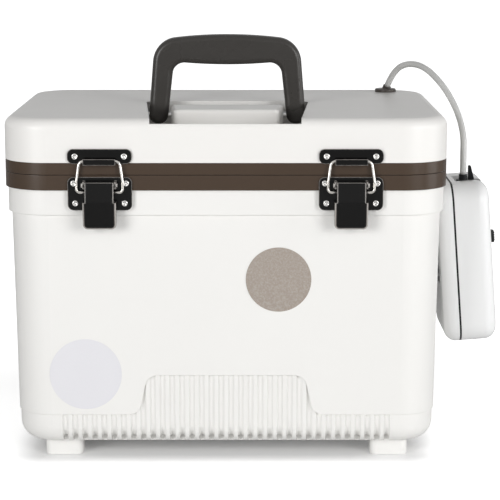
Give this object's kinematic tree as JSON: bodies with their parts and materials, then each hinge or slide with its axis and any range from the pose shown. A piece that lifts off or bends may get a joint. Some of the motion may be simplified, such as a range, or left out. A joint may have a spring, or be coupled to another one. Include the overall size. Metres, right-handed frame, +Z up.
{
  "type": "aerated bait bucket",
  "caption": "Insulated live-bait cooler with a hinged lid, draw latches, a folding handle and a clip-on air pump whose hose feeds an air stone through the lid.",
  "frame": {"origin": "on the floor under the middle of the tank", "axes": "+X to the object's right where the pump hangs, +Y to the back where the hinges are, +Z up; the front with its latches faces -Y"},
  "size_m": [0.4009, 0.2659, 0.3333],
  "materials": {
    "tank_shell": "white moulded plastic, satin",
    "tank_insulation": "pale foam",
    "tank_liner": "smooth white plastic",
    "rim_band": "dark brown moulded plastic",
    "capacity_label": "blank pale film",
    "badge_label": "blank taupe film",
    "latch_base": "black",
    "rivets": "bright heads",
    "lever_pin": "steel",
    "hinge": "stainless",
    "pump_bracket": "white plastic",
    "screws": "steel",
    "belt_clip": "white plastic",
    "pump_case": "white moulded plastic",
    "pump_gasket": "black seal",
    "outlet_fitting": "black",
    "switch_block": "black",
    "batteries": "plain wrapped cells",
    "battery_contacts": "nickel plated",
    "motor": "steel can",
    "diaphragm": "black rubber",
    "pump_head": "dark plastic",
    "pressure_tube": "soft tube",
    "pump_chassis": "grey plastic",
    "hose": "milky translucent tube",
    "air_stone": "grainy sintered stone",
    "lid_shell": "white moulded plastic, satin",
    "lid_insulation": "pale foam",
    "lid_liner": "smooth white plastic",
    "lid_band": "dark brown moulded plastic",
    "lid_gasket": "soft grey seal",
    "keeper": "black",
    "handle_pins": "plain steel",
    "hose_grommet": "dark rubber",
    "handle": "dark grey moulded plastic",
    "lever": "black",
    "bail_spacer": "black",
    "bail": "bright wire",
    "pump_switch": "black",
    "drive_cam": "white plastic"
  },
  "bodies": {
    "tank": {"tank_shell": "tank_shell", "tank_insulation": "tank_insulation", "tank_liner": "tank_liner", "rim_band": "rim_band", "capacity_label": "capacity_label", "badge_label": "badge_label", "latch_base_left": "latch_base", "latch_base_right": "latch_base", "latch_base_rivets": "rivets", "lever_pin_left": "lever_pin", "lever_pin_right": "lever_pin", "hinge_tank_leaves": "hinge", "hinge_pins": "hinge", "hinge_rivets_tank": "rivets", "pump_bracket": "pump_bracket", "bracket_screws": "screws", "belt_clip": "belt_clip", "pump_front_shell": "pump_case", "pump_back_shell": "pump_case", "pump_gasket": "pump_gasket", "case_screws": "screws", "outlet_fitting": "outlet_fitting", "switch_block": "switch_block", "batteries": "batteries", "battery_contacts": "battery_contacts", "motor": "motor", "diaphragm": "diaphragm", "pump_head": "pump_head", "pressure_tube": "pressure_tube", "pump_chassis": "pump_chassis", "inner_hose": "hose", "air_stone": "air_stone"},
    "lid": {"lid_shell": "lid_shell", "lid_insulation": "lid_insulation", "lid_liner": "lid_liner", "lid_band": "lid_band", "lid_gasket": "lid_gasket", "keeper_left": "keeper", "keeper_right": "keeper", "keeper_rivets": "rivets", "hinge_lid_leaves": "hinge", "hinge_rivets_lid": "rivets", "handle_pins": "handle_pins", "hose_grommet": "hose_grommet", "air_hose": "hose"},
    "handle": {"handle": "handle"},
    "lever_left": {"lever_left": "lever"},
    "lever_right": {"lever_right": "lever"},
    "bail_spacer_left": {"bail_spacer_left": "bail_spacer"},
    "bail_spacer_right": {"bail_spacer_right": "bail_spacer"},
    "bail_left": {"bail_left": "bail"},
    "bail_right": {"bail_right": "bail"},
    "pump_switch": {"pump_switch": "pump_switch"},
    "drive_cam": {"drive_cam": "drive_cam"}
  },
  "joints": [
    {"name": "lid_hinge", "type": "hinge", "parent": "tank", "child": "lid", "pos_m": [0, 0.1273, 0.2322], "axis": [-1, 0, 0], "range_deg": [0, 100]},
    {"name": "handle_pivot", "type": "hinge", "parent": "lid", "child": "handle", "pos_m": [0, 0, 0.266], "axis": [1, 0, 0], "range_deg": [0, 90]},
    {"name": "lever_pivot_left", "type": "hinge", "parent": "tank", "child": "lever_left", "pos_m": [-0.0975, -0.1295, 0.225], "axis": [-1, 0, 0], "range_deg": [0, 95]},
    {"name": "bail_follow_left", "type": "hinge", "parent": "lever_left", "child": "bail_spacer_left", "pos_m": [-0.0975, -0.1282, 0.2193], "axis": [-1, 0, 0], "range_deg": [-80, 0]},
    {"name": "bail_swing_left", "type": "hinge", "parent": "bail_spacer_left", "child": "bail_left", "pos_m": [-0.0975, -0.1282, 0.2193], "axis": [1, 0, 0], "range_deg": [0, 78]},
    {"name": "lever_pivot_right", "type": "hinge", "parent": "tank", "child": "lever_right", "pos_m": [0.0975, -0.1295, 0.225], "axis": [-1, 0, 0], "range_deg": [0, 95]},
    {"name": "bail_follow_right", "type": "hinge", "parent": "lever_right", "child": "bail_spacer_right", "pos_m": [0.0975, -0.1282, 0.2193], "axis": [-1, 0, 0], "range_deg": [-80, 0]},
    {"name": "bail_swing_right", "type": "hinge", "parent": "bail_spacer_right", "child": "bail_right", "pos_m": [0.0975, -0.1282, 0.2193], "axis": [1, 0, 0], "range_deg": [0, 78]},
    {"name": "switch_slide", "type": "slide", "parent": "tank", "child": "pump_switch", "axis": [0.0779, 0, -0.997], "range_m": [0, 0.006]},
    {"name": "cam_spin", "type": "hinge", "parent": "tank", "child": "drive_cam", "pos_m": [0.20206, 0, 0.17295], "axis": [0, 1, 0], "continuous": true}
  ],
  "couplings": [
    {"joint": "bail_follow_left", "follows": "lever_pivot_left", "ratio": -0.835},
    {"joint": "bail_follow_right", "follows": "lever_pivot_right", "ratio": -0.835}
  ]
}
